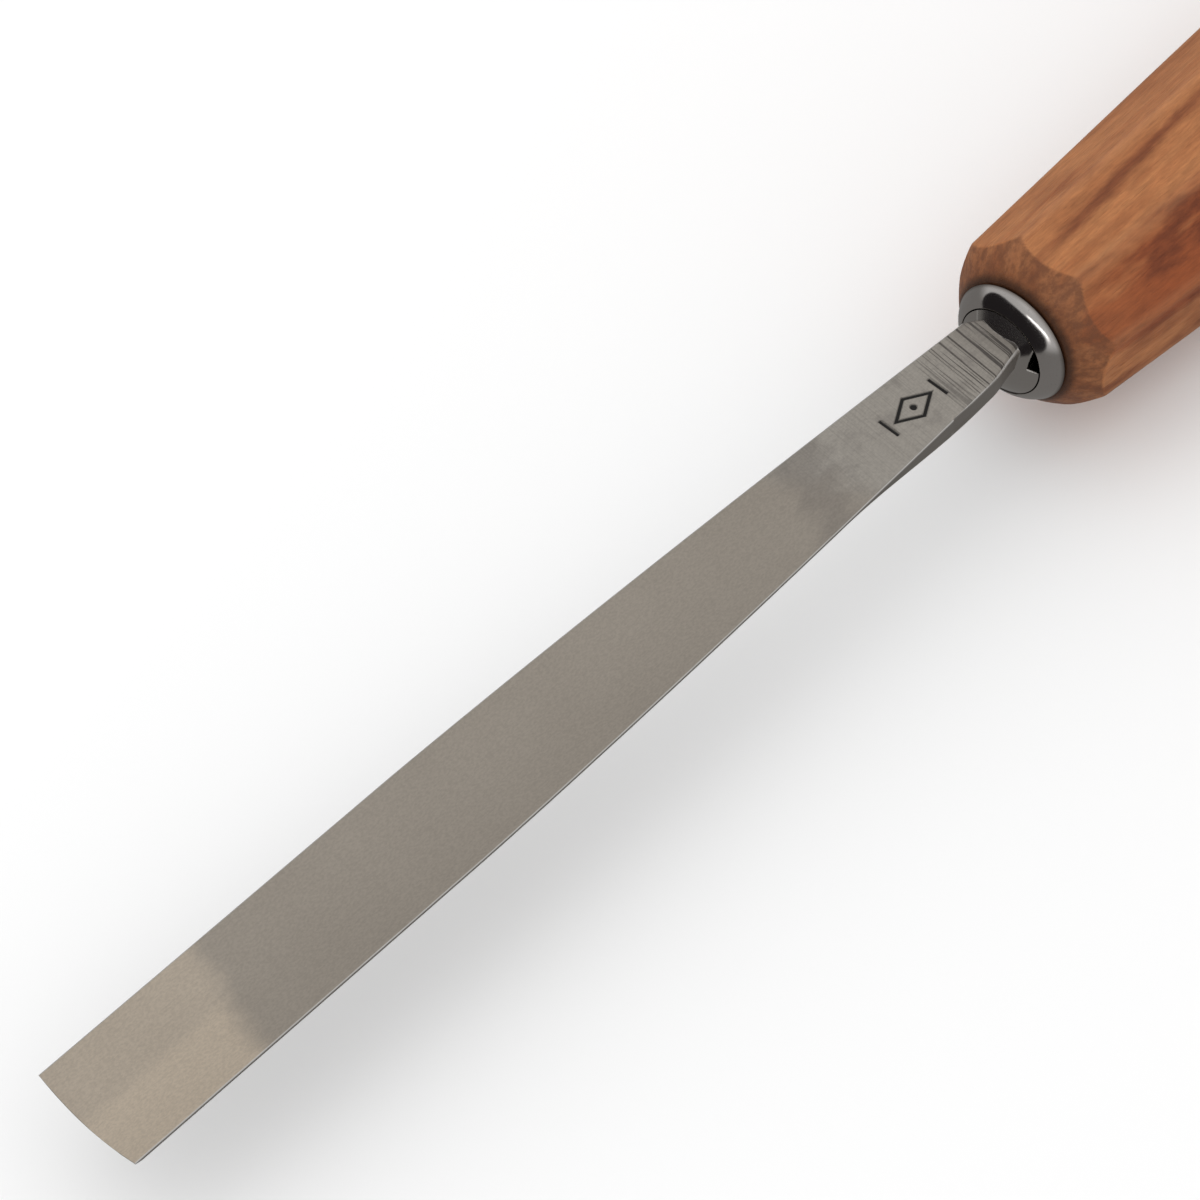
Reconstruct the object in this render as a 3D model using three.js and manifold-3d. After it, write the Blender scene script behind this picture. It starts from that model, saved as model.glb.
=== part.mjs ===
// Shallow carving gouge: a forged blade with its boss and tang, a steel ferrule ring, an octagonal handle.
// Millimetres. The tool lies along X with its cutting edge towards +X and its hollow face up (+Z).
// While it is being made, x = 0 is the seam between ring and handle, on the axis of the handle.
import * as THREE from 'three'
import { mergeVertices } from 'three/addons/utils/BufferGeometryUtils.js'
import Module from 'manifold-3d'

const wasm = await Module()
wasm.setup()

// ---- Driving dimensions -------------------------------------------------------------------------
// Blade
const BLADE_LENGTH = 121          // seam to cutting edge
const TIP_WIDTH = 12
const SWEEP_DEPTH = 0.75          // how far the middle of the hollow lies below its corners
const EDGE_CROWN = 0.25           // how far the middle of the edge stands in front of its corners
const EDGE_THICKNESS = 0.12
const BEVEL_ANGLE = 17            // degrees, ground on the rounded back
const BACK_THICKNESS_TIP = 2.3
const BACK_THICKNESS_REAR = 3.2
const SIDE_HEIGHT_TIP = 0.35      // straight flank under the corner of the hollow face
const TAPER_END = 80              // x where the blade reaches its full width
const TAPER_EASE = 1.5
const HOLLOW_START = 26
const HOLLOW_END = 56
// Shank
const SHANK_WIDTH = 6.8
const SHANK_THICKNESS = 5.6
const SHANK_SIDE_HEIGHT = 2.6
const SHANK_START = 5             // x where the taper starts
const SHANK_END = 30              // x where the thick shank has thinned down to the blade
const SHANK_TOP_HEIGHT = 3.5      // top face above the axis at the ring
const TIP_TOP_HEIGHT = -0.5       // corners of the edge, against the axis
// Boss, neck and tang, forged in one with the blade
const BOSS_RADIUS = 4.65
const BOSS_DEPTH = 3              // how far the boss sits behind the seam
const BOSS_CROWN = 1.95           // how far its dome would stand in front of the ring, on the axis
const BOSS_FLAT = 3.7             // ground flat on the right of the boss, from the axis
const BOSS_FLAT_FOOT = 0.8        // height above the axis where that flat stops
const NECK_SIDE = 0.75            // ground off the right side of the shank where it leaves the boss
const NECK_STEP = 0.9             // how far the neck is turned down below the boss
const NECK_LENGTH_LEFT = 3        // of the turned cones that take off the corners of the shank
const NECK_LENGTH_RIGHT = 8
const NECK_RISE = 1.25            // how much wider those cones are at their far ends
const TANG_LENGTH = 46
const TANG_ROOT_WIDTH = 5
const TANG_END_WIDTH = 2.4
// Ferrule ring
const RING_WIDTH = 1.7            // flange, from its bore to its rim
const RING_RIM_HEIGHT = 0.1
const RING_CROWN_HEIGHT = 1.85    // bore edge of the domed flange, above the seam
const SLEEVE_WALL = 0.75
const SLEEVE_LENGTH = 9
// Handle
const HANDLE_LENGTH = 130
const FRONT_RADIUS = 9.75         // to the arrises, at the nose
const BELLY_RADIUS = 13.6
const BUTT_RADIUS = 12.4
const BELLY_START = 72            // behind the seam
const BELLY_LENGTH = 22
const NOSE_LIP = 0.15             // wood standing outside the ring
const NOSE_LENGTH = 4.2
const BUTT_ROUND = 9              // depth of the domed end
const FACETS = 8
// Fits
const FIT = 0.25                  // radial clearance of boss, sleeve and tang in what holds them
const SEAT = 0.25                 // clearance under a seated shoulder

// ---- Sizes that follow --------------------------------------------------------------------------
const boreRadius = BOSS_RADIUS + FIT
const ringRadius = boreRadius + RING_WIDTH
const sleeveRadius = boreRadius + SLEEVE_WALL
const tangHoleRadius = TANG_ROOT_WIDTH / Math.SQRT2 + FIT
const flatShare = Math.cos(Math.PI / FACETS)
const bellyFlat = BELLY_RADIUS * flatShare

const { clamp, lerp, smoothstep, degToRad } = THREE.MathUtils

// ---- Solids -------------------------------------------------------------------------------------
// A closed manifold solid from a three.js geometry, with its faces turned outwards.
function solid (geometry) {
  const bare = geometry.index ? geometry.toNonIndexed() : geometry.clone()
  bare.deleteAttribute('normal')
  bare.deleteAttribute('uv')
  const merged = mergeVertices(bare, 1e-5)
  const points = merged.attributes.position.array
  const corners = merged.index.array
  const triangles = []
  let volume = 0
  for (let i = 0; i < corners.length; i += 3) {
    const [a, b, c] = [corners[i], corners[i + 1], corners[i + 2]]
    if (a === b || b === c || c === a) continue
    triangles.push([a, b, c])
    const [p, q, r] = [a, b, c].map(n => new THREE.Vector3().fromArray(points, 3 * n))
    volume += p.dot(q.cross(r))
  }
  const outward = volume > 0 ? triangles : triangles.map(([a, b, c]) => [a, c, b])
  return new wasm.Manifold(new wasm.Mesh({
    numProp: 3,
    vertProperties: new Float32Array(points),
    triVerts: new Uint32Array(outward.flat())
  }))
}

// A turned solid about the X axis. Each profile point is a Vector2 of radius and x.
function turned (profile, segments = 64) {
  const geometry = new THREE.LatheGeometry(profile, segments)
  geometry.rotateZ(-Math.PI / 2)
  return solid(geometry)
}

// A square bar along X that tapers from one width to another.
function taperedSquare (fromX, toX, fromWidth, toWidth) {
  const bar = new THREE.CylinderGeometry(fromWidth / Math.SQRT2, toWidth / Math.SQRT2, fromX - toX, 4)
  bar.rotateY(Math.PI / 4)
  bar.rotateZ(-Math.PI / 2)
  bar.translate((fromX + toX) / 2, 0, 0)
  return solid(bar)
}

function point (radius, x) {
  return new THREE.Vector2(radius, x)
}

// Points of a quarter of an ellipse, from (radius, x) `from` to `to`; it leaves `from` along the radius.
function quarterRound (from, to, steps = 10) {
  const points = []
  for (let i = 0; i <= steps; i++) {
    const angle = (i / steps) * Math.PI / 2
    points.push(point(lerp(from.x, to.x, Math.sin(angle)), lerp(to.y, from.y, Math.cos(angle))))
  }
  return points
}

// ---- Blade --------------------------------------------------------------------------------------
function topHeight (x) {
  return lerp(SHANK_TOP_HEIGHT, TIP_TOP_HEIGHT, x / BLADE_LENGTH)
}

// From the middle to the left side, or to the right one when across is positive.
function halfWidth (x, across) {
  const along = clamp((x - SHANK_START) / (TAPER_END - SHANK_START), 0, 1)
  const ground = across > 0 ? NECK_SIDE * (1 - smoothstep(x, RING_CROWN_HEIGHT, 1.5 * SHANK_START)) : 0
  return lerp(TIP_WIDTH, SHANK_WIDTH, (1 - along) ** TAPER_EASE) / 2 - ground
}

function thickness (x) {
  if (x < SHANK_END) return lerp(SHANK_THICKNESS, BACK_THICKNESS_REAR, smoothstep(x, SHANK_START, SHANK_END))
  return lerp(BACK_THICKNESS_REAR, BACK_THICKNESS_TIP, (x - SHANK_END) / (BLADE_LENGTH - SHANK_END))
}

function sideHeight (x) {
  return lerp(SHANK_SIDE_HEIGHT, SIDE_HEIGHT_TIP, smoothstep(x, 2 * SHANK_START, SHANK_END))
}

// One point of the blade. across runs from -1 to 1 over the width. level is 1 on the top face, falls to 0
// down the straight flank, and goes on to -1 at the middle of the rounded back.
function bladePoint (x, across, level) {
  const hollow = SWEEP_DEPTH * smoothstep(x, HOLLOW_START, HOLLOW_END) * (1 - across ** 2)
  const top = topHeight(x) - hollow
  const side = sideHeight(x)
  const fall = level >= 0 ? side * (1 - level) : side - level * (thickness(x) - side)
  const edgeX = BLADE_LENGTH - EDGE_CROWN * across ** 2
  const bevelled = EDGE_THICKNESS + (BLADE_LENGTH - x) * Math.tan(degToRad(BEVEL_ANGLE))
  const low = level === 1 ? top : Math.max(topHeight(x) - fall, top - bevelled)
  return new THREE.Vector3(Math.min(x, edgeX), halfWidth(x, across) * across, low)
}

// The section before it is sized: a flat top, short flanks and a back that bellies down between them.
function bladeOutline (backSteps = 22, topSteps = 12) {
  const outline = new THREE.Shape()
  outline.moveTo(-1, 1)
  for (let i = 0; i <= backSteps; i++) {
    const angle = Math.PI + (i / backSteps) * Math.PI
    outline.lineTo(Math.cos(angle), i === 0 || i === backSteps ? 0 : -(Math.sin(angle) ** 2))
  }
  for (let i = 0; i < topSteps; i++) outline.lineTo(1 - 2 * i / topSteps, 1)
  return outline
}

function bladeBody (fromX) {
  const steps = 44
  const geometry = new THREE.ExtrudeGeometry(bladeOutline(), { depth: 1, steps, bevelEnabled: false })
  const spots = geometry.attributes.position
  for (let i = 0; i < spots.count; i++) {
    // Sections crowd together towards both ends, where the shape changes most.
    const share = spots.getZ(i)
    const x = lerp(fromX, BLADE_LENGTH, share - Math.sin(2 * Math.PI * share) / (3 * Math.PI))
    const placed = bladePoint(x, spots.getX(i), spots.getY(i))
    spots.setXYZ(i, placed.x, placed.y, placed.z)
  }
  return solid(geometry)
}

// A turned cone over the whole blade, narrowest at the ring.
function neckCone (length) {
  const neckRadius = BOSS_RADIUS - NECK_STEP
  const end = RING_CROWN_HEIGHT + length
  const outside = neckRadius + NECK_RISE + TIP_WIDTH
  return turned([
    point(0, -BOSS_DEPTH), point(neckRadius, -BOSS_DEPTH), point(neckRadius, RING_CROWN_HEIGHT),
    point(neckRadius + NECK_RISE, end), point(outside, end + TIP_WIDTH),
    point(outside, BLADE_LENGTH + 1), point(0, BLADE_LENGTH + 1)
  ])
}

// What the forging stays inside: the corners of the shank run in to the neck, sooner on the right.
function neckEnvelope () {
  return neckCone(NECK_LENGTH_RIGHT).add(neckCone(NECK_LENGTH_LEFT).trimByPlane([0, -1, 0], 0))
}

function boss () {
  const profile = [point(0, -BOSS_DEPTH), point(BOSS_RADIUS, -BOSS_DEPTH)]
  const steps = 10
  for (let i = steps; i >= 0; i--) {
    const share = i / steps
    profile.push(point(BOSS_RADIUS * share, RING_CROWN_HEIGHT + BOSS_CROWN * (1 - share ** 2)))
  }
  const waste = new THREE.BoxGeometry(4 * BOSS_RADIUS, BOSS_RADIUS, 4 * BOSS_RADIUS)
  waste.translate(0, BOSS_FLAT + BOSS_RADIUS / 2, BOSS_FLAT_FOOT + 2 * BOSS_RADIUS)
  return turned(profile).subtract(solid(waste))
}

function makeBlade () {
  const tang = taperedSquare(-BOSS_DEPTH + 1, -BOSS_DEPTH - TANG_LENGTH, TANG_ROOT_WIDTH, TANG_END_WIDTH)
  return bladeBody(0).intersect(neckEnvelope()).add(boss()).add(tang)
}

// ---- Ferrule ring -------------------------------------------------------------------------------
// A domed flange on the end of the handle, with a sleeve let into the wood. The boss drops into its bore
// and seats on a shoulder; the tang goes on through the smaller hole behind.
function makeRing () {
  const seatX = -BOSS_DEPTH - SEAT
  const dome = new THREE.QuadraticBezierCurve(
    point(boreRadius, RING_CROWN_HEIGHT),
    point(ringRadius - 0.3 * RING_WIDTH, lerp(RING_RIM_HEIGHT, RING_CROWN_HEIGHT, 0.6)),
    point(ringRadius, RING_RIM_HEIGHT)).getPoints(12)
  return turned([
    point(boreRadius, seatX), ...dome, point(ringRadius, 0), point(sleeveRadius, 0),
    point(sleeveRadius, -SLEEVE_LENGTH), point(tangHoleRadius, -SLEEVE_LENGTH),
    point(tangHoleRadius, seatX), point(boreRadius, seatX)
  ])
}

// ---- Handle -------------------------------------------------------------------------------------
// Radius to the arrises at a distance behind the seam: it swells to the belly, stays level, then falls.
function arrisRadius (behind) {
  const bellyEnd = BELLY_START + BELLY_LENGTH
  if (behind < BELLY_START) {
    const share = behind / BELLY_START
    return lerp(FRONT_RADIUS, BELLY_RADIUS, share * (1.2 - 0.2 * share ** 5))
  }
  if (behind < bellyEnd) return BELLY_RADIUS
  return lerp(BELLY_RADIUS, BUTT_RADIUS, ((behind - bellyEnd) / (HANDLE_LENGTH - bellyEnd)) ** 2)
}

function handleBlank () {
  const profile = [point(0, 1)]
  const rows = [0]
  for (let i = 0; i <= 12; i++) rows.push(BELLY_START * i / 12)
  for (let i = 0; i <= 8; i++) rows.push(lerp(BELLY_START + BELLY_LENGTH, HANDLE_LENGTH, i / 8))
  rows.forEach((behind, i) => profile.push(point(arrisRadius(behind), i === 0 ? 1 : -behind)))
  profile.push(point(0, -HANDLE_LENGTH))
  const geometry = new THREE.LatheGeometry(profile, FACETS, Math.PI / FACETS)
  geometry.rotateZ(-Math.PI / 2)
  return solid(geometry)
}

// The turned nose and butt that the eight facets run into.
function handleEnvelope () {
  const outside = 1.1 * BELLY_RADIUS
  const noseRadius = ringRadius + NOSE_LIP
  const nose = new THREE.QuadraticBezierCurve(
    point(noseRadius, -SEAT),
    point(lerp(noseRadius, FRONT_RADIUS, 0.42), -0.28 * NOSE_LENGTH),
    point(1.06 * FRONT_RADIUS, -1.1 * NOSE_LENGTH)).getPoints(10)
  const butt = quarterRound(point(0, -HANDLE_LENGTH), point(outside, -HANDLE_LENGTH + BUTT_ROUND), 18)
  return turned([point(0, -SEAT), ...nose, point(outside, -2 * NOSE_LENGTH), ...butt.reverse()])
}

// A counterbore for the sleeve and a tapered square hole for the tang.
function handleHoles () {
  const sleeveHole = sleeveRadius + FIT
  const sleeveEnd = -SLEEVE_LENGTH - SEAT
  const counterbore = turned([
    point(0, 1), point(sleeveHole, 1), point(sleeveHole, sleeveEnd), point(0, sleeveEnd)
  ])
  const tangHole = taperedSquare(-BOSS_DEPTH + 1, -BOSS_DEPTH - TANG_LENGTH - SEAT,
    TANG_ROOT_WIDTH + 2 * FIT, TANG_END_WIDTH + 2 * FIT)
  return counterbore.add(tangHole)
}

function makeHandle () {
  return handleBlank().intersect(handleEnvelope()).subtract(handleHoles())
}

// ---- Assembly -----------------------------------------------------------------------------------
const steel = new THREE.MeshStandardMaterial({ color: 0x958c80, roughness: 0.38, metalness: 1 })
const polishedSteel = new THREE.MeshStandardMaterial({ color: 0xb9b7b4, roughness: 0.12, metalness: 1 })
const oiledWood = new THREE.MeshStandardMaterial({ color: 0x9c6440, roughness: 0.5, metalness: 0 })

function piece (name, body, material) {
  const mesh = body.getMesh()
  const geometry = new THREE.BufferGeometry()
  geometry.setAttribute('position', new THREE.BufferAttribute(mesh.vertProperties, 3))
  geometry.setIndex(new THREE.BufferAttribute(mesh.triVerts, 1))
  geometry.computeVertexNormals()
  const node = new THREE.Mesh(geometry, material)
  node.name = name
  return node
}

// The finished tool lies over its own middle, with the lowest facet of the handle at z = 0.
const group = new THREE.Group()
group.position.set((HANDLE_LENGTH - BLADE_LENGTH) / 2, 0, bellyFlat)
group.add(piece('gouge_blade', makeBlade(), steel))
group.add(piece('ferrule_ring', makeRing(), polishedSteel))
group.add(piece('handle', makeHandle(), oiledWood))

export default group
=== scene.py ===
"""Shallow carving gouge: a satin ground blade, a polished ferrule ring and an oiled octagonal handle.

Every mesh is worked out in millimetres in the tool's own frame: `along` from the seam between ring and
handle towards the cutting edge, `across` the blade, `up` out of its hollow face, both from the handle's axis.
"""

import math

import bpy
from bpy.props import FloatProperty, FloatVectorProperty, IntProperty, PointerProperty
from mathutils import Matrix, Vector


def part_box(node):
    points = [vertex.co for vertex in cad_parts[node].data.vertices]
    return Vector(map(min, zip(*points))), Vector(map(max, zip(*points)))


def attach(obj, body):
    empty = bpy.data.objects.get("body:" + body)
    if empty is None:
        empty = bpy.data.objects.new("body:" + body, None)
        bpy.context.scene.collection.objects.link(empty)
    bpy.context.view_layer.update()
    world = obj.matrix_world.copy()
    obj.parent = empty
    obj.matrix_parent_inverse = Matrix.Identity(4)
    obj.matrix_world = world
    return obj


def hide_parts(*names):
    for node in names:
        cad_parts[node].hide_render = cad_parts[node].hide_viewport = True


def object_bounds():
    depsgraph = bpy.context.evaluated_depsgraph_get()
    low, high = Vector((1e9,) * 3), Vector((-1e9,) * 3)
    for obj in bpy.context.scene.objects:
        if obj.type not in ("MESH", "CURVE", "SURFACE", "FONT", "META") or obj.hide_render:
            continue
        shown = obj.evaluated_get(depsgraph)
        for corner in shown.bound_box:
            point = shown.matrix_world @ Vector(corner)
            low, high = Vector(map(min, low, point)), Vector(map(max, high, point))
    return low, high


bl_info = {
    "name": "Shallow Carving Gouge",
    "version": (1, 0, 0),
    "blender": (4, 5, 0),
    "location": "3D View > Sidebar > Gouge",
    "description": "Builds the blade, ferrule ring and handle of a shallow carving gouge around its frame",
    "category": "Object",
}

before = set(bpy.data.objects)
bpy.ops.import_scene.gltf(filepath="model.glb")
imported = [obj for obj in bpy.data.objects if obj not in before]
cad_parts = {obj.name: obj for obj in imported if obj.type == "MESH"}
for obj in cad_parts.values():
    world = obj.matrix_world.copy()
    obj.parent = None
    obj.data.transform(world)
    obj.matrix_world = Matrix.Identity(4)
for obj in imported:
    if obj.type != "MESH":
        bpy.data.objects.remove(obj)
cad_low, cad_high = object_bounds()

MM = 0.001

# ---- Sizes read from the frame ------------------------------------------------------------------
SEAT = 0.25  # the handle's face stands this far behind the seam
handle_low, handle_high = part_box("handle")
ring_low, ring_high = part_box("ferrule_ring")
blade_low, blade_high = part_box("gouge_blade")
SEAM_X = handle_high.x + SEAT * MM
AXIS_Z = (handle_low.z + handle_high.z) / 2
BLADE_LENGTH = (blade_high.x - SEAM_X) / MM
HANDLE_LENGTH = (SEAM_X - handle_low.x) / MM
TIP_WIDTH = (blade_high.y - blade_low.y) / MM
TANG_END = (blade_low.x - SEAM_X) / MM
RING_RADIUS = (ring_high.y - ring_low.y) / 2 / MM
RING_CROWN = (ring_high.x - SEAM_X) / MM
SLEEVE_LENGTH = (SEAM_X - ring_low.x) / MM
FACETS = 8
BELLY_RADIUS = (handle_high.z - handle_low.z) / 2 / MM / math.cos(math.pi / FACETS)

# ---- Sizes that the frame's boxes don't show ----------------------------------------------------
SHANK_WIDTH, SHANK_THICKNESS, SHANK_SIDE = 6.8, 5.6, 2.6
SHANK_START, SHANK_END = 5.0, 30.0
SHANK_TOP, TIP_TOP = 3.5, -0.5
TAPER_END, TAPER_EASE = 80.0, 1.5
BACK_REAR, BACK_TIP, SIDE_TIP = 3.2, 2.3, 0.35
HOLLOW_START, HOLLOW_END = 26.0, 56.0
EDGE_CROWN = 0.25
BOSS_RADIUS, BOSS_DEPTH, BOSS_CROWN = 4.65, 3.0, 1.95
BOSS_FLAT, BOSS_FLAT_FOOT = 3.7, 0.8
NECK_SIDE, NECK_STEP, NECK_RISE = 0.75, 0.9, 1.25
NECK_LENGTH_LEFT, NECK_LENGTH_RIGHT = 3.0, 8.0
TANG_ROOT_WIDTH, TANG_END_WIDTH, TANG_CHAMFER = 5.0, 2.4, 0.4
SEAT_CHAMFER = 0.3
RING_WIDTH, RIM_HEIGHT, SLEEVE_WALL = 1.7, 0.1, 0.75
BORE_RADIUS = RING_RADIUS - RING_WIDTH
SLEEVE_RADIUS = BORE_RADIUS + SLEEVE_WALL
FIT = 0.25
FRONT_RADIUS, BUTT_RADIUS = 9.75, 12.4
BELLY_START, BELLY_LENGTH = 72.0, 22.0
NOSE_LIP, NOSE_LENGTH, BUTT_ROUND = 0.15, 4.2, 9.0


# ---- Settings -----------------------------------------------------------------------------------
def colour_property(name, default, description):
    return FloatVectorProperty(name=name, description=description, default=default, subtype="COLOR",
                               size=3, min=0.0, max=1.0)


def length_property(name, millimetres, description, low=0.0, high=10.0):
    return FloatProperty(name=name, description=description, default=millimetres * MM, min=low * MM,
                         max=high * MM, unit="LENGTH", subtype="DISTANCE", precision=5)


class BladeSettings(bpy.types.PropertyGroup):
    """Looks and fine shape of the blade."""

    sweep_depth: length_property("Sweep Depth", 0.75, "Depth of the hollow at the cutting edge")
    edge_thickness: length_property("Edge Thickness", 0.03, "Steel left at the cutting edge", 0.01)
    edge_break: length_property("Edge Break", 0.13, "Width of the bright break on the long edges", 0.02)
    boss_gap: length_property("Boss Gap", 0.1, "Seam between the boss and the bore of the ring", 0.02, 0.3)
    stamp_depth: length_property("Stamp Depth", 0.14, "Depth of the plain stamped mark")
    bevel_angle: FloatProperty(name="Bevel Angle", description="Angle of the bevel on the back",
                               default=math.radians(17), min=math.radians(8), max=math.radians(40),
                               unit="ROTATION", subtype="ANGLE")
    steel: colour_property("Steel", (0.52, 0.465, 0.40), "Satin steel in the middle of the blade")
    # Partly painted sheen: the honed band by the cutting edge is real, and its brighter, warmer colour stands
    # in for the brighter reflection it shows.
    honed_sheen_steel: colour_property("Honed Steel", (0.78, 0.67, 0.54), "Brighter steel near the cutting edge")
    shank_steel: colour_property("Shank Steel", (0.57, 0.53, 0.475), "Cross-ground steel of the shank")
    # Painted shade: the sides and back get a darker steel than the top, standing in for the dimmer light they
    # reflect.
    shaded_flank_steel: colour_property("Flank Steel", (0.50, 0.465, 0.43), "Steel of the sides and the back")
    boss_steel: colour_property("Boss Steel", (0.60, 0.57, 0.54), "Polished steel of the boss")


class RingSettings(bpy.types.PropertyGroup):
    """Looks and fine shape of the ferrule ring."""

    bore_break: length_property("Bore Break", 0.12, "Rounding of the edge of the bore", 0.02)
    steel: colour_property("Polished Steel", (0.66, 0.625, 0.60), "Colour of the polished ring")
    roughness: FloatProperty(name="Roughness", description="Roughness of the polish", default=0.09,
                             min=0.02, max=0.5, subtype="FACTOR")


class HandleSettings(bpy.types.PropertyGroup):
    """Looks and fine shape of the handle."""

    arris_softness: length_property("Arris Softness", 0.3, "How far the sanding rounds the arrises", 0.05)
    rows_per_millimetre: IntProperty(name="Nose Rows", description="Mesh rows per millimetre of the nose",
                                     default=7, min=2, max=12)
    pale_wood: colour_property("Pale Wood", (0.375, 0.147, 0.052), "Wood between the streaks")
    red_wood: colour_property("Red Wood", (0.255, 0.061, 0.015), "Wood of the red-brown layers")
    dark_streak: colour_property("Dark Streak", (0.130, 0.026, 0.008), "The darkest streaks and pores")


class StageSettings(bpy.types.PropertyGroup):
    """Camera, light and floor."""

    camera_distance: length_property("Camera Distance", 351, "From the lens to the point looked at",
                                     100, 2000)
    focal_length: FloatProperty(name="Focal Length", description="Focal length on a 36 mm sensor",
                                default=114.9, min=20.0, max=300.0, unit="CAMERA")
    roll: FloatProperty(name="Camera Roll", description="Turn of the camera about its own line of sight",
                        default=math.radians(3.6), min=-math.pi, max=math.pi, unit="ROTATION",
                        subtype="ANGLE")
    floor_colour: colour_property("Floor", (0.90, 0.90, 0.90), "Colour of the plain floor")


# ---- Small sums ---------------------------------------------------------------------------------
def mix(a, b, share):
    return a + (b - a) * share


def clamp(value, low=0.0, high=1.0):
    return max(low, min(high, value))


def ease(value, low, high):
    share = clamp((value - low) / (high - low))
    return share * share * (3 - 2 * share)


def soft_min(a, b, reach):
    """The smaller of a and b, with the corner between them rounded over reach."""
    overlap = max(reach - abs(a - b), 0.0) / reach
    return min(a, b) - overlap * overlap * reach / 4


def soft_max(a, b, reach):
    return -soft_min(-a, -b, reach)


def stations(*stretches):
    """Places along the tool from stretches of (from, to, step), without repeats."""
    places = []
    for start, end, step in stretches:
        count = max(1, round((end - start) / step))
        places += [mix(start, end, i / count) for i in range(count)]
    return places + [stretches[-1][1]]


def bezier(start, pull, end, share):
    """A point of a curve that leaves start towards pull and comes to end from it."""
    return tuple(mix(mix(a, b, share), mix(b, c, share), share) for a, b, c in zip(start, pull, end))


# ---- Meshes -------------------------------------------------------------------------------------
def place(along, across, up):
    """A point of the tool's frame, in metres in the frame of the part."""
    return (SEAM_X + along * MM, across * MM, AXIS_Z + up * MM)


def mesh_piece(name, points, faces, masks, sharp_angle):
    """A piece made from points in metres and the faces over them, with its normals outward.
    masks: values from 0 to 1 for each point, by name. sharp_angle: least angle of a hard edge, in degrees."""
    mesh = bpy.data.meshes.new(name)
    mesh.from_pydata(points, [], faces)
    for mask, values in masks.items():
        layer = mesh.attributes.new(mask, "FLOAT", "POINT")
        layer.data.foreach_set("value", values)
    if signed_volume(mesh) < 0:
        mesh.flip_normals()
    mesh.shade_smooth()
    mesh.set_sharp_from_angle(angle=math.radians(sharp_angle))
    piece = bpy.data.objects.new(name, mesh)
    bpy.context.scene.collection.objects.link(piece)
    return piece


def skin(name, rows, masks, sharp_angle):
    """A closed skin over rings of (along, across, up) points. All rings have the same number of points, but
    for the first, which is one point, and the last, which is one point or is pressed flat to an edge."""
    points = [place(*point) for row in rows for point in row]
    starts = []
    total = 0
    for row in rows:
        starts.append(total)
        total += len(row)
    faces = []
    for row, following, start, then in zip(rows, rows[1:], starts, starts[1:]):
        count = max(len(row), len(following))
        for i in range(count):
            j = (i + 1) % count
            if len(row) == 1:
                faces.append((start, then + j, then + i))
            elif len(following) == 1:
                faces.append((start + i, start + j, then))
            else:
                faces.append((start + i, start + j, then + j, then + i))
    last, count = starts[-1], len(rows[-1])
    for i in range(count // 2 - 1):
        faces.append((last + i, last + i + 1, last + count - 2 - i, last + count - 1 - i))
    return mesh_piece(name, points, faces, masks, sharp_angle)


def signed_volume(mesh):
    mesh.calc_loop_triangles()
    corners = mesh.vertices
    volume = 0.0
    for triangle in mesh.loop_triangles:
        a, b, c = (corners[i].co for i in triangle.vertices)
        volume += a.dot(b.cross(c))
    return volume


def round_row(radius, along, angles):
    return [(along, radius * math.sin(a), radius * math.cos(a)) for a in angles]


def square_row(width, along, angles):
    radii = [width / 2 / max(abs(math.sin(a)), abs(math.cos(a))) for a in angles]
    return [(along, r * math.sin(a), r * math.cos(a)) for r, a in zip(radii, angles)]


def finish_piece(piece, node, material):
    piece.data.materials.append(material)
    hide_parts(node)
    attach(piece, "root")


# ---- Node trees ---------------------------------------------------------------------------------
class Graph:
    """A node tree with short calls. node and group return the new node, and the others its output."""

    def __init__(self, tree):
        self.tree = tree

    def node(self, kind, inputs=None, **settings):
        made = self.tree.nodes.new(kind)
        for key, value in settings.items():
            setattr(made, key, value)
        for key, value in (inputs or {}).items():
            self.feed(made.inputs[key], value)
        return made

    def feed(self, socket, value):
        if isinstance(value, bpy.types.NodeSocket):
            self.tree.links.new(value, socket)
        else:
            socket.default_value = value

    def math(self, operation, a, b=0.0, c=0.0, clamped=False):
        made = self.node("ShaderNodeMath", {0: a, 1: b, 2: c}, operation=operation, use_clamp=clamped)
        return made.outputs[0]

    def times(self, a, b, clamped=False):
        return self.math("MULTIPLY", a, b, clamped=clamped)

    def times_plus(self, a, b, c):
        return self.math("MULTIPLY_ADD", a, b, c)

    def ramp(self, value, low, high, to_low=0.0, to_high=1.0):
        """value eased from to_low at low, to to_high at high."""
        made = self.node("ShaderNodeMapRange", {0: value, 1: low, 2: high, 3: to_low, 4: to_high},
                         interpolation_type="SMOOTHSTEP")
        return made.outputs[0]

    def blend(self, share, a, b):
        made = self.node("ShaderNodeMix", data_type="RGBA")
        for index, value in ((0, share), (6, a), (7, b)):
            if index and not isinstance(value, bpy.types.NodeSocket):
                value = (*value, 1.0)
            self.feed(made.inputs[index], value)
        return made.outputs[2]

    def stretched(self, position, scale, turn=0.0):
        """position turned about the up axis and scaled, as a place to read a noise."""
        made = self.node("ShaderNodeMapping", {"Vector": position, "Rotation": (0.0, 0.0, turn),
                                               "Scale": scale})
        return made.outputs[0]

    def noise(self, position, scale, detail=3.0, roughness=0.55, turn=0.0, distortion=0.0):
        made = self.node("ShaderNodeTexNoise", {
            "Vector": self.stretched(position, scale, turn), "Scale": 1.0, "Detail": detail,
            "Roughness": roughness, "Distortion": distortion})
        return made.outputs["Fac"]

    def attribute(self, name):
        return self.node("ShaderNodeAttribute", attribute_name=name).outputs["Fac"]

    def group(self, tree, inputs):
        return self.node("ShaderNodeGroup", inputs, node_tree=tree)


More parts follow.
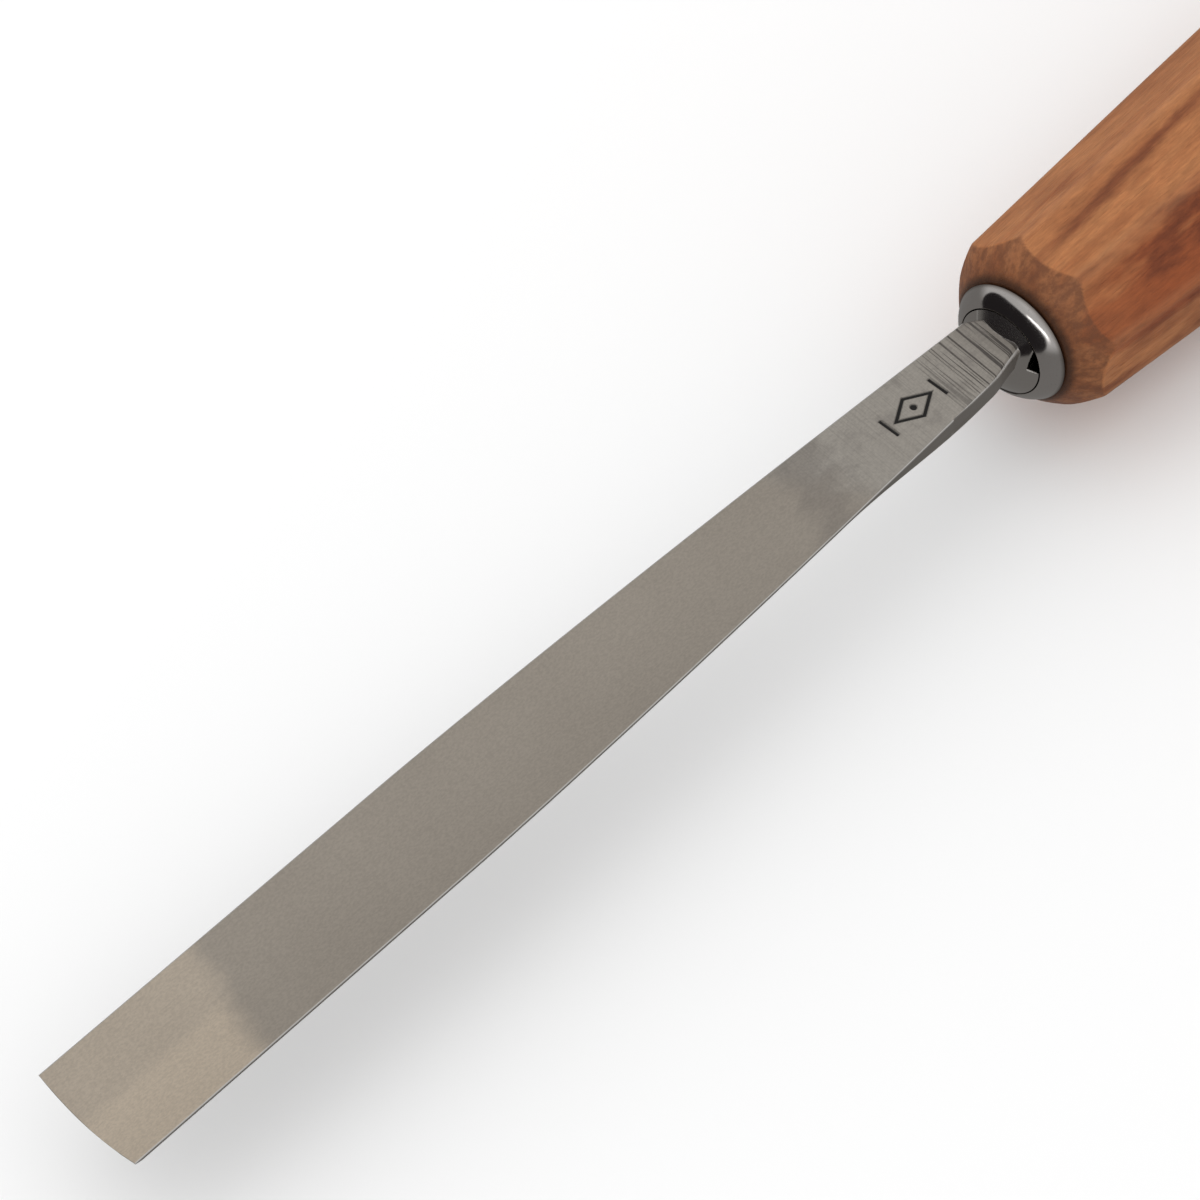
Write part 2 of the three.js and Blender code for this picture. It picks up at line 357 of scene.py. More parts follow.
def new_group(name, inputs, outputs):
    """An empty shader group. inputs and outputs are {name: (kind, default)} and {name: kind}."""
    tree = bpy.data.node_groups.new(name, "ShaderNodeTree")
    for label, (kind, default) in inputs.items():
        socket = tree.interface.new_socket(label, in_out="INPUT", socket_type=kind)
        socket.default_value = default
    for label, kind in outputs.items():
        tree.interface.new_socket(label, in_out="OUTPUT", socket_type=kind)
    graph = Graph(tree)
    return tree, graph, graph.node("NodeGroupInput").outputs, graph.node("NodeGroupOutput").inputs


FLOAT, VECTOR, COLOR = "NodeSocketFloat", "NodeSocketVector", "NodeSocketColor"


def tool_space_group():
    """Position on the tool in millimetres from the seam and the axis."""
    tree, graph, _, outputs = new_group("Tool Space", {}, {
        "Position": VECTOR, "Along": FLOAT, "Across": FLOAT, "Up": FLOAT, "Radius": FLOAT})
    corner = graph.node("ShaderNodeTexCoord").outputs["Object"]
    moved = graph.node("ShaderNodeVectorMath", {0: corner, 1: (SEAM_X, 0.0, AXIS_Z)}, operation="SUBTRACT")
    sized = graph.node("ShaderNodeVectorMath", {0: moved.outputs[0], "Scale": 1 / MM}, operation="SCALE")
    split = graph.node("ShaderNodeSeparateXYZ", {0: sized.outputs[0]}).outputs
    graph.feed(outputs["Position"], sized.outputs[0])
    for label, part in zip(("Along", "Across", "Up"), split):
        graph.feed(outputs[label], part)
    squares = graph.times_plus(split[1], split[1], graph.times(split[2], split[2]))
    graph.feed(outputs["Radius"], graph.math("SQRT", squares))
    return tree


def scratches_group():
    """Fine grinding or polishing lines. Lengthwise and Crosswise are how fast they change along the tool
    and across it, so lines across the tool have a small Crosswise."""
    tree, graph, inputs, outputs = new_group("Scratches", {
        "Position": (VECTOR, (0.0, 0.0, 0.0)), "Lengthwise": (FLOAT, 0.1), "Crosswise": (FLOAT, 12.0),
        "Sparseness": (FLOAT, 0.55), "Hardness": (FLOAT, 9.0)}, {"Lines": FLOAT, "Even": FLOAT})
    scale = graph.node("ShaderNodeCombineXYZ", {0: inputs["Lengthwise"], 1: inputs["Crosswise"],
                                                2: inputs["Crosswise"]}).outputs[0]
    spot = graph.node("ShaderNodeVectorMath", {0: inputs["Position"], 1: scale}, operation="MULTIPLY")
    grain = graph.node("ShaderNodeTexNoise", {"Vector": spot.outputs[0], "Scale": 1.0, "Detail": 2.0,
                                              "Roughness": 0.6}).outputs["Fac"]
    past = graph.math("SUBTRACT", grain, inputs["Sparseness"])
    graph.feed(outputs["Lines"], graph.times(past, inputs["Hardness"], clamped=True))
    graph.feed(outputs["Even"], grain)
    return tree


def handling_group():
    """Uneven film from handling: broad soft patches and small specks."""
    tree, graph, inputs, outputs = new_group("Handling", {
        "Position": (VECTOR, (0.0, 0.0, 0.0)), "Patch Size": (FLOAT, 0.12), "Speck Size": (FLOAT, 3.0)},
        {"Patches": FLOAT, "Specks": FLOAT})

    def field(size, detail):
        spot = graph.node("ShaderNodeVectorMath", {0: inputs["Position"], "Scale": size}, operation="SCALE")
        return graph.node("ShaderNodeTexNoise", {"Vector": spot.outputs[0], "Scale": 1.0, "Detail": detail,
                                                 "Roughness": 0.5}).outputs["Fac"]

    graph.feed(outputs["Patches"], graph.ramp(field(inputs["Patch Size"], 2.0), 0.35, 0.65))
    graph.feed(outputs["Specks"], graph.ramp(field(inputs["Speck Size"], 2.0), 0.66, 0.74))
    return tree


def wear_group():
    """Turns a mask of how near an edge is into broken, uneven wear. On the blade it also places a painted
    highlight along the edge breaks.
    """
    tree, graph, inputs, outputs = new_group("Edge Wear", {
        "Position": (VECTOR, (0.0, 0.0, 0.0)), "Edge": (FLOAT, 0.0), "Unevenness": (FLOAT, 0.5)},
        {"Wear": FLOAT})
    spot = graph.node("ShaderNodeVectorMath", {0: inputs["Position"], 1: (0.35, 1.6, 1.6)},
                      operation="MULTIPLY")
    rub = graph.node("ShaderNodeTexNoise", {"Vector": spot.outputs[0], "Scale": 1.0,
                                            "Detail": 3.0}).outputs["Fac"]
    broken = graph.times(graph.math("SUBTRACT", rub, 0.5), inputs["Unevenness"])
    uneven = graph.math("ADD", broken, 0.85)
    graph.feed(outputs["Wear"], graph.times(inputs["Edge"], uneven, clamped=True))
    return tree


SHARED_GROUPS = {"Tool Space": tool_space_group, "Scratches": scratches_group,
                 "Handling": handling_group, "Edge Wear": wear_group}


def shared_group(name):
    """A shared effect, made the first time that a material asks for it."""
    return bpy.data.node_groups.get(name) or SHARED_GROUPS[name]()


def new_material(name):
    """A material, its graph, its Principled shader and the outputs of its Tool Space."""
    material = bpy.data.materials.new(name)
    material.use_nodes = True
    graph = Graph(material.node_tree)
    shader = material.node_tree.nodes["Principled BSDF"]
    space = graph.group(shared_group("Tool Space"), {}).outputs
    return material, graph, shader, space


def bump(graph, shader, height, depth):
    """Feeds height into the shader's normal. depth is what 1 stands for, in millimetres."""
    made = graph.node("ShaderNodeBump", {"Height": height, "Distance": depth * MM, "Strength": 1.0})
    graph.feed(shader.inputs["Normal"], made.outputs[0])


# ---- Blade --------------------------------------------------------------------------------------
TOP_POINTS = 92
CORNER_POINTS = 4
FLANK_POINTS = 14
BACK_POINTS = 84
MARK_CENTRE, MARK_REACH = 15.3, 4.4
NECK_EASE, DOME_EASE, FLAT_EASE = 0.1, 0.06, 0.2  # how far these corners are rounded


def top_height(along):
    return mix(SHANK_TOP, TIP_TOP, along / BLADE_LENGTH)


def half_width(along):
    share = clamp((along - SHANK_START) / (TAPER_END - SHANK_START))
    return mix(TIP_WIDTH, SHANK_WIDTH, (1 - share) ** TAPER_EASE) / 2


def thickness(along):
    if along < SHANK_END:
        return mix(SHANK_THICKNESS, BACK_REAR, ease(along, SHANK_START, SHANK_END))
    return mix(BACK_REAR, BACK_TIP, (along - SHANK_END) / (BLADE_LENGTH - SHANK_END))


def side_height(along):
    return mix(SHANK_SIDE, SIDE_TIP, ease(along, 2 * SHANK_START, SHANK_END))


def hollow(along, share, depth):
    """How far the hollow face lies below its corners. share is the place across it, from -1 to 1."""
    return depth * ease(along, HOLLOW_START, HOLLOW_END) * (1 - share * share)


def stamp(along, across):
    """The plain stamped mark, 1 in its strokes: a lozenge with a dot in it, between two short bars."""
    length, width, stroke, dot, bar, bar_place = 2.5, 1.4, 0.2, 0.38, 1.25, 3.55
    x, y = abs(along - MARK_CENTRE), abs(across)
    lozenge = abs(x / length + y / width - 1) * length * width / math.hypot(length, width) - stroke
    bars = max(abs(x - bar_place) - stroke, y - bar)
    nearest = min(lozenge, math.hypot(x, y) - dot, bars)
    return ease(-nearest, -0.05, 0.06)


def blade_outline(along, settings):
    """Ring of (across, up, stamp, edge, flank) round the blade, from the left corner of its top face."""
    width, top, side = half_width(along), top_height(along), side_height(along)
    depth = thickness(along) - side
    broken = settings.edge_break / MM
    sweep = settings.sweep_depth / MM
    ring = []
    for i in range(TOP_POINTS + 1):
        share = 2 * i / TOP_POINTS - 1
        across = share * (width - broken)
        mark = stamp(along, across)
        sunk = mark * settings.stamp_depth / MM
        ring.append((across, top - hollow(along, share, sweep) - sunk, mark, 0.0, 0.0))
    right = []
    for i in range(1, CORNER_POINTS + 1):
        angle = i / CORNER_POINTS * math.pi / 2
        right.append((width - broken * (1 - math.sin(angle)), top - broken * (1 - math.cos(angle)), 0.0, 1.0,
                      i / CORNER_POINTS))
    for i in range(1, FLANK_POINTS):
        right.append((width, top - mix(broken, side, i / FLANK_POINTS), 0.0, 0.0, 1.0))
    back = []
    for i in range(BACK_POINTS + 1):
        angle = i / BACK_POINTS * math.pi
        back.append((width * math.cos(angle), top - side - depth * math.sin(angle) ** 2, 0.0, 0.0, 1.0))
    left = [(-across, up, mark, edge, flank) for across, up, mark, edge, flank in reversed(right)]
    return ring + right + back + left


def bevelled(along, across, up, settings):
    """The height of a point of the back once the bevel is ground."""
    width = half_width(along)
    share = clamp(across / width, -1, 1)
    face = top_height(along) - hollow(along, share, settings.sweep_depth / MM)
    steel_left = settings.edge_thickness / MM + (BLADE_LENGTH - along) * math.tan(settings.bevel_angle)
    return max(up, face - steel_left)


def neck_radius(along, length):
    """Largest radius of the forging near the ring, where the corners of the shank run in."""
    beyond = along - RING_CROWN
    return BOSS_RADIUS - NECK_STEP + NECK_RISE * clamp(beyond / length) + max(0.0, beyond - length)


def boss_radius(along, settings):
    """Radius of the boss and its dome, or 0 in front of it."""
    return (BORE_RADIUS - settings.boss_gap / MM) * math.sqrt(1 - clamp((along - RING_CROWN) / BOSS_CROWN))


def neck_point(along, across, up, settings):
    """A point of the shank's ring, drawn in to the neck, then out to the boss, then in to its ground flat,
    and how far it belongs to the boss."""
    length = NECK_LENGTH_LEFT
    if across > 0:
        length = NECK_LENGTH_RIGHT
        across -= NECK_SIDE * across / (SHANK_WIDTH / 2) * (1 - ease(along, RING_CROWN, 1.5 * SHANK_START))
    radius = math.hypot(across, up)
    necked = soft_min(radius, neck_radius(along, length), NECK_EASE)
    domed = boss_radius(along, settings)
    shaped = soft_max(necked, domed, DOME_EASE)
    return *flattened(across * shaped / radius, up * shaped / radius), ease(domed - necked, -DOME_EASE, 0.02)


def flattened(across, up):
    """A point of the boss after the flat is ground on its right side, down to the foot of the flat."""
    ground = ease(up, BOSS_FLAT_FOOT - FLAT_EASE, BOSS_FLAT_FOOT + FLAT_EASE)
    return min(across, mix(BORE_RADIUS, BOSS_FLAT, ground)), up


def blade_rows(settings):
    """Rings of the blade from the end of its tang to its cutting edge, with their masks."""
    rows, masks = [], {"stamp": [], "edge": [], "flank": [], "boss": []}

    def add(row, **values):
        rows.append(row)
        for mask, made in masks.items():
            made.extend(values.get(mask) or [0.0] * len(row))

    root = [(point[0], point[1]) for point in blade_outline(0.0, settings)]
    ways = [math.atan2(across, up) for across, up in root]

    add([(TANG_END, 0.0, 0.0)])
    add(square_row(TANG_END_WIDTH - TANG_CHAMFER, TANG_END, ways))
    add(square_row(TANG_END_WIDTH, TANG_END + TANG_CHAMFER, ways))
    add(square_row(TANG_ROOT_WIDTH, -BOSS_DEPTH, ways))
    seated = BORE_RADIUS - settings.boss_gap / MM
    for radius, along in ((seated - SEAT_CHAMFER, -BOSS_DEPTH), (seated, -BOSS_DEPTH + SEAT_CHAMFER)):
        add([(along, *flattened(across, up)) for along, across, up in round_row(radius, along, ways)])
    bevel_length = thickness(BLADE_LENGTH) / math.tan(settings.bevel_angle)
    places = stations(
        (-BOSS_DEPTH + 0.5, RING_CROWN - 0.4, 0.4), (RING_CROWN - 0.4, RING_CROWN + BOSS_CROWN, 0.05),
        (RING_CROWN + BOSS_CROWN, 8.0, 0.15), (8.0, MARK_CENTRE - MARK_REACH, 0.3),
        (MARK_CENTRE - MARK_REACH, MARK_CENTRE + MARK_REACH, 0.08),
        (MARK_CENTRE + MARK_REACH, 34.0, 0.5), (34.0, BLADE_LENGTH - bevel_length - 4, 1.2),
        (BLADE_LENGTH - bevel_length - 4, BLADE_LENGTH, 0.12))
    for along in places:
        row, stamps, edges, flanks, bosses = [], [], [], [], []
        for across, up, stamped, edge, flank in blade_outline(max(along, 0.0), settings):
            boss = 0.0
            if along < RING_CROWN + 1.5 * NECK_LENGTH_RIGHT:
                across, up, boss = neck_point(along, across, up, settings)
            share = clamp(across / half_width(along), -1, 1)
            front = BLADE_LENGTH - EDGE_CROWN * share * share
            row.append((min(along, front), across, bevelled(along, across, up, settings)))
            stamps.append(stamped)
            edges.append(edge)
            flanks.append(flank)
            bosses.append(boss)
        add(row, stamp=stamps, edge=edges, flank=flanks, boss=bosses)
    return rows, masks


# Tints laid over the colours of the steel
BORDER_DULLNESS = (0.34, 0.305, 0.275)
HEAT_STAIN = (0.20, 0.165, 0.145)
FINE_LINE, COARSE_LINE, DRAWN_LINE = (0.20, 0.18, 0.16), (0.10, 0.09, 0.085), (0.30, 0.27, 0.24)
HAND_FILM, SMUDGE = (0.34, 0.30, 0.26), (0.30, 0.27, 0.25)
# The edge breaks: partly real rubbed wear, partly a painted highlight along them.
RUBBED_EDGE_AND_HIGHLIGHT = (0.86, 0.84, 0.81)
MARK_BLACK = (0.012, 0.011, 0.010)


def blade_material(settings):
    material, graph, shader, space = new_material("Satin Ground Steel")
    position, along, across = space["Position"], space["Along"], space["Across"]

    # Zones along the blade, in millimetres from the seam, with borders that wander
    slanted = graph.times_plus(across, -0.21, along)
    wander = graph.noise(position, (0.25, 0.5, 0.5), 2.0)
    wandering = graph.times_plus(wander, 5.0, along)
    polished = graph.attribute("boss")
    coarse_zone = graph.ramp(wandering, 9.5, 17.5, 1.0, 0.0)
    shank_zone = graph.ramp(graph.times_plus(across, 0.5, wandering), 28.0, 33.0, 1.0, 0.0)
    honed_zone = graph.ramp(graph.times_plus(wander, 3.0, slanted), 104.4, 108.0)
    bordering = graph.times_plus(wander, 6.0, graph.times_plus(across, -0.35, along))
    border = graph.times(graph.ramp(bordering, 28.0, 31.0), graph.ramp(bordering, 36.0, 32.5))
    stained = graph.times(graph.ramp(wandering, 12.5, 4.5), 0.30)

    # Lines ground across the shank, finer lines with them, and lines drawn along the blade
    scratches = shared_group("Scratches")
    turned = graph.stretched(position, (1.0, 1.0, 1.0), math.radians(4))
    coarse = graph.group(scratches, {"Position": turned, "Lengthwise": 3.4, "Crosswise": 0.07,
                                     "Sparseness": 0.53, "Hardness": 20.0}).outputs
    fine = graph.group(scratches, {"Position": turned, "Lengthwise": 11.0, "Crosswise": 0.12,
                                   "Sparseness": 0.50}).outputs
    drawn = graph.group(scratches, {"Position": position, "Lengthwise": 0.06, "Crosswise": 14.0,
                                    "Sparseness": 0.55}).outputs
    handled = graph.group(shared_group("Handling"), {"Position": position, "Patch Size": 0.09,
                                                     "Speck Size": 2.5}).outputs
    wear = graph.group(shared_group("Edge Wear"), {"Position": position, "Edge": graph.attribute("edge"),
                                                   "Unevenness": 0.5}).outputs["Wear"]
    stamped = graph.attribute("stamp")

    # Colour, from the broad zones (the honed band brightened as a painted sheen) to the lines, the sides
    # (darkened as painted shade), the worn edges (brightened as a painted highlight) and the mark
    colour = graph.blend(shank_zone, settings.steel, settings.shank_steel)
    # The honed band by the cutting edge, its colour raised as a painted sheen.
    colour = graph.blend(honed_zone, colour, settings.honed_sheen_steel)
    band = graph.ramp(graph.times_plus(wander, 1.5, across), 1.6, -0.2)
    banded = graph.times(graph.times(band, honed_zone), 0.35)
    colour = graph.blend(banded, colour, settings.steel)
    colour = graph.blend(graph.times(border, 0.5), colour, BORDER_DULLNESS)
    colour = graph.blend(stained, colour, HEAT_STAIN)
    coarse_lines = graph.times(coarse["Lines"], coarse_zone)
    fine_lines = graph.times(fine["Lines"], shank_zone)
    drawn_lines = graph.times(drawn["Lines"], graph.math("SUBTRACT", 1.0, shank_zone))
    colour = graph.blend(graph.times(fine_lines, 0.16), colour, FINE_LINE)
    colour = graph.blend(graph.times(coarse_lines, 0.8), colour, COARSE_LINE)
    colour = graph.blend(graph.times(drawn_lines, 0.05), colour, DRAWN_LINE)
    colour = graph.blend(graph.times(handled["Patches"], 0.06), colour, HAND_FILM)
    smudges = graph.ramp(graph.noise(position, (0.45, 0.55, 0.55), 3.0, 0.6), 0.50, 0.68, 0.0, 0.30)
    colour = graph.blend(graph.times(smudges, shank_zone), colour, SMUDGE)
    grain = graph.ramp(graph.noise(position, (3.0, 5.0, 5.0), 3.0, 0.6), 0.3, 0.7, 0.93, 1.07)
    colour = graph.node("ShaderNodeVectorMath", {0: colour, "Scale": grain}, operation="SCALE").outputs[0]
    # Painted shade: the sides and the back are blended to the darker flank steel.
    colour = graph.blend(graph.attribute("flank"), colour, settings.shaded_flank_steel)
    colour = graph.blend(polished, colour, settings.boss_steel)
    # Edge breaks brightened: partly rubbed wear, partly a painted highlight.
    colour = graph.blend(wear, colour, RUBBED_EDGE_AND_HIGHLIGHT)
    colour = graph.blend(stamped, colour, MARK_BLACK)
    graph.feed(shader.inputs["Base Color"], colour)

    rough = graph.times_plus(drawn["Even"], 0.16, 0.36)
    rough = graph.times_plus(coarse_zone, 0.06, rough)
    rough = graph.times_plus(graph.attribute("flank"), -0.12, rough)
    rough = graph.times_plus(polished, -0.26, rough)
    rough = graph.times_plus(handled["Patches"], 0.03, rough)
    rough = graph.times_plus(wear, -0.12, rough)
    rough = graph.times_plus(stamped, 0.35, rough)
    graph.feed(shader.inputs["Roughness"], rough)
    graph.feed(shader.inputs["Metallic"], graph.math("SUBTRACT", 1.0, graph.times(stamped, 0.8)))

    height = graph.times_plus(coarse_lines, -1.0, graph.times(fine_lines, -0.4))
    height = graph.times_plus(drawn["Even"], 0.35, height)
    height = graph.times(height, graph.math("SUBTRACT", 1.0, polished))
    bump(graph, shader, height, 0.012)
    return material


def make_blade(settings):
    rows, masks = blade_rows(settings)
    blade = skin("blade", rows, masks, 30.0)
    finish_piece(blade, "gouge_blade", blade_material(settings))
    return blade


# ---- Ferrule ring -------------------------------------------------------------------------------
RING_POINTS = 192
# The last of these darkens the ring's rim where it meets the wood: painted shade.
RING_FILM, RING_SPECK, RIM_SHADE = (0.44, 0.425, 0.41), (0.2, 0.18, 0.16), (0.11, 0.075, 0.055)


def ring_profile(settings):
    """(radius, along) points round the section of the ring, from the shoulder in its bore."""
    broken = settings.bore_break / MM
    seat = -BOSS_DEPTH - SEAT
    hole = TANG_ROOT_WIDTH / math.sqrt(2) + FIT
    profile = [(BORE_RADIUS, seat), (BORE_RADIUS, -1.0), (BORE_RADIUS, 1.0)]
    profile += [(BORE_RADIUS + broken * (1 - math.cos(a)), RING_CROWN - broken * (1 - math.sin(a)))
                for a in (i / 4 * math.pi / 2 for i in range(4))]
    crown, rim = (BORE_RADIUS + broken, RING_CROWN), (RING_RADIUS, RIM_HEIGHT)
    pull = (RING_RADIUS - 0.3 * RING_WIDTH, mix(RIM_HEIGHT, RING_CROWN, 0.6))
    profile += [bezier(crown, pull, rim, i / 32) for i in range(33)]
    profile += [(RING_RADIUS - 0.04, 0.02)]
    profile += [(SLEEVE_RADIUS, 0.0), (SLEEVE_RADIUS, -1.0), (SLEEVE_RADIUS, -SLEEVE_LENGTH + SEAT_CHAMFER)]
    profile += [(SLEEVE_RADIUS - SEAT_CHAMFER, -SLEEVE_LENGTH), (hole, -SLEEVE_LENGTH), (hole, seat)]
    return profile


def ring_skin(name, profile):
    """A closed ring turned from a profile that runs round its own section."""
    angles = [i / RING_POINTS * 2 * math.pi for i in range(RING_POINTS)]
    count = len(profile)
    points = [place(*point) for radius, along in profile for point in round_row(radius, along, angles)]
    faces = []
    for row in range(count):
        for i in range(RING_POINTS):
            j = (i + 1) % RING_POINTS
            this, following = row * RING_POINTS, (row + 1) % count * RING_POINTS
            faces.append((this + i, this + j, following + j, following + i))
    return mesh_piece(name, points, faces, {}, 40.0)


def ring_material(settings):
    material, graph, shader, space = new_material("Polished Steel")
    position, along = space["Position"], space["Along"]
    rubbed = graph.group(shared_group("Scratches"), {"Position": position, "Lengthwise": 1.2,
                                                     "Crosswise": 1.6, "Sparseness": 0.6}).outputs
    handled = graph.group(shared_group("Handling"), {"Position": position, "Patch Size": 0.35,
                                                     "Speck Size": 5.0}).outputs
    rim = graph.ramp(along, 0.0, 0.5, 1.0, 0.0)
    colour = graph.blend(graph.times(handled["Patches"], 0.12), settings.steel, RING_FILM)
    colour = graph.blend(graph.times(handled["Specks"], 0.3), colour, RING_SPECK)
    # Painted shade: the rim darkened where the ring meets the wood.
    colour = graph.blend(graph.times(rim, 0.8), colour, RIM_SHADE)
    graph.feed(shader.inputs["Base Color"], colour)
    rough = graph.times_plus(handled["Patches"], 0.05, settings.roughness)
    rough = graph.times_plus(rim, 0.25, rough)
    graph.feed(shader.inputs["Roughness"], rough)
    shader.inputs["Metallic"].default_value = 1.0
    bump(graph, shader, rubbed["Even"], 0.004)
    return material


def make_ring(settings):
    ring = ring_skin("ring", ring_profile(settings))
    finish_piece(ring, "ferrule_ring", ring_material(settings))
    return ring


# ---- Handle -------------------------------------------------------------------------------------
POINTS_PER_FACET = 32
CROWDING = 0.75  # 0 spaces the points evenly, 1 crowds them most


def handle_angles():
    """Angles round the handle from straight up, closest together at the arrises. Facet middles and
    arrises fall on points, and so do the corners of the square tang hole."""
    step = 2 * math.pi / FACETS
    angles = []
    for facet in range(FACETS):
        for i in range(POINTS_PER_FACET):
            share = i / POINTS_PER_FACET
            crowded = share + CROWDING * (math.sin(4 * math.pi * share) / (4 * math.pi))
            angles.append(step * (facet + crowded))
    return angles


def arris_radius(behind):
    belly_end = BELLY_START + BELLY_LENGTH
    if behind < BELLY_START:
        share = behind / BELLY_START
        return mix(FRONT_RADIUS, BELLY_RADIUS, share * (1.2 - 0.2 * share ** 5))
    if behind < belly_end:
        return BELLY_RADIUS
    return mix(BELLY_RADIUS, BUTT_RADIUS, ((behind - belly_end) / (HANDLE_LENGTH - belly_end)) ** 2)


def nose_radius(behind):
    """Radius of the turned nose at a distance behind the seam."""
    front = RING_RADIUS + NOSE_LIP
    start, end = (front, SEAT), (1.06 * FRONT_RADIUS, 1.1 * NOSE_LENGTH)
    pull = (mix(front, FRONT_RADIUS, 0.42), 0.28 * NOSE_LENGTH)
    low, high = 0.0, 1.0
    for _ in range(24):
        middle = (low + high) / 2
        if bezier(start, pull, end, middle)[1] < behind:
            low = middle
        else:
            high = middle
    if behind > end[1]:
        return end[0] + (behind - end[1]) * 0.6
    return bezier(start, pull, end, low)[0]


def butt_radius(behind):
    """Radius of the domed butt at a distance behind the seam."""
    depth = clamp((behind - (HANDLE_LENGTH - BUTT_ROUND)) / BUTT_ROUND)
    return 1.1 * BELLY_RADIUS * math.sqrt(max(0.0, 1 - depth * depth))


def handle_row(behind, angles, softness):
    """One ring of the handle: the eight facets, run into the turned nose or butt."""
    flat = arris_radius(behind) * math.cos(math.pi / FACETS)
    facet = 2 * math.pi / FACETS
    turned = soft_min(nose_radius(behind), butt_radius(behind), softness)
    row = []
    for angle in angles:
        off = (angle + facet / 2) % facet - facet / 2
        one, other = flat / math.cos(off), flat / math.cos(facet - abs(off))
        radius = soft_min(one, other, softness)
        radius = soft_min(radius, turned, 0.3 * softness)
        row.append((-behind, radius * math.sin(angle), radius * math.cos(angle)))
    return row


def handle_rows(settings):
    angles = handle_angles()
    softness = settings.arris_softness / MM
    step = 1 / settings.rows_per_millimetre
    sleeve_hole = SLEEVE_RADIUS + FIT
    sleeve_end = -SLEEVE_LENGTH - SEAT
    tang_end = TANG_END - SEAT
    share = (sleeve_end + BOSS_DEPTH) / (tang_end + BOSS_DEPTH)
    front_width = mix(TANG_ROOT_WIDTH, TANG_END_WIDTH, share) + 2 * FIT
    rows = [[(tang_end, 0.0, 0.0)], square_row(TANG_END_WIDTH + 2 * FIT, tang_end, angles),
            square_row(front_width, sleeve_end, angles), round_row(sleeve_hole, sleeve_end, angles),
            round_row(sleeve_hole, -SEAT, angles), round_row(RING_RADIUS - 0.2, -SEAT, angles)]
    butt_start = HANDLE_LENGTH - BUTT_ROUND
    places = stations((SEAT + 0.02, SEAT + 0.4, 0.06), (SEAT + 0.4, 1.5 * NOSE_LENGTH, step),
                      (1.5 * NOSE_LENGTH, butt_start, 1.3), (butt_start, HANDLE_LENGTH - 1.2, 0.25))
    rows += [handle_row(behind, angles, softness) for behind in places]
    for i in range(1, 12):
        behind = HANDLE_LENGTH - 1.2 * (1 - i / 12) ** 2
        rows.append(handle_row(behind, angles, softness))
    rows.append([(-HANDLE_LENGTH, 0.0, 0.0)])
    return rows


def handle_masks(rows):
    """How near each point is to an arris, and whether it lies on the turned nose in front of the facets."""
    facet = 2 * math.pi / FACETS
    arris, nose = [], []
    for row in rows:
        for along, across, up in row:
            angle = math.atan2(across, up)
            off = (angle + facet / 2) % facet - facet / 2
            radius = math.hypot(across, up)
            arris.append(1 - ease((facet / 2 - abs(off)) * radius, 0.2, 1.1))
            flat = arris_radius(-along) * math.cos(facet / 2) / math.cos(off)
            nose.append(ease(flat - radius, 0.02, 0.14) if -along < 2 * NOSE_LENGTH else 0.0)
    return {"arris": arris, "nose": nose}


# Tints laid over the colours of the wood
RUBBED_WOOD, END_GRAIN = (0.50, 0.25, 0.12), (0.15, 0.052, 0.021)
# The second of these is painted shadow, in the gap where the wood meets the ring.
BURNISHED_WOOD, GAP_SHADOW = (0.10, 0.035, 0.016), (0.03, 0.014, 0.008)


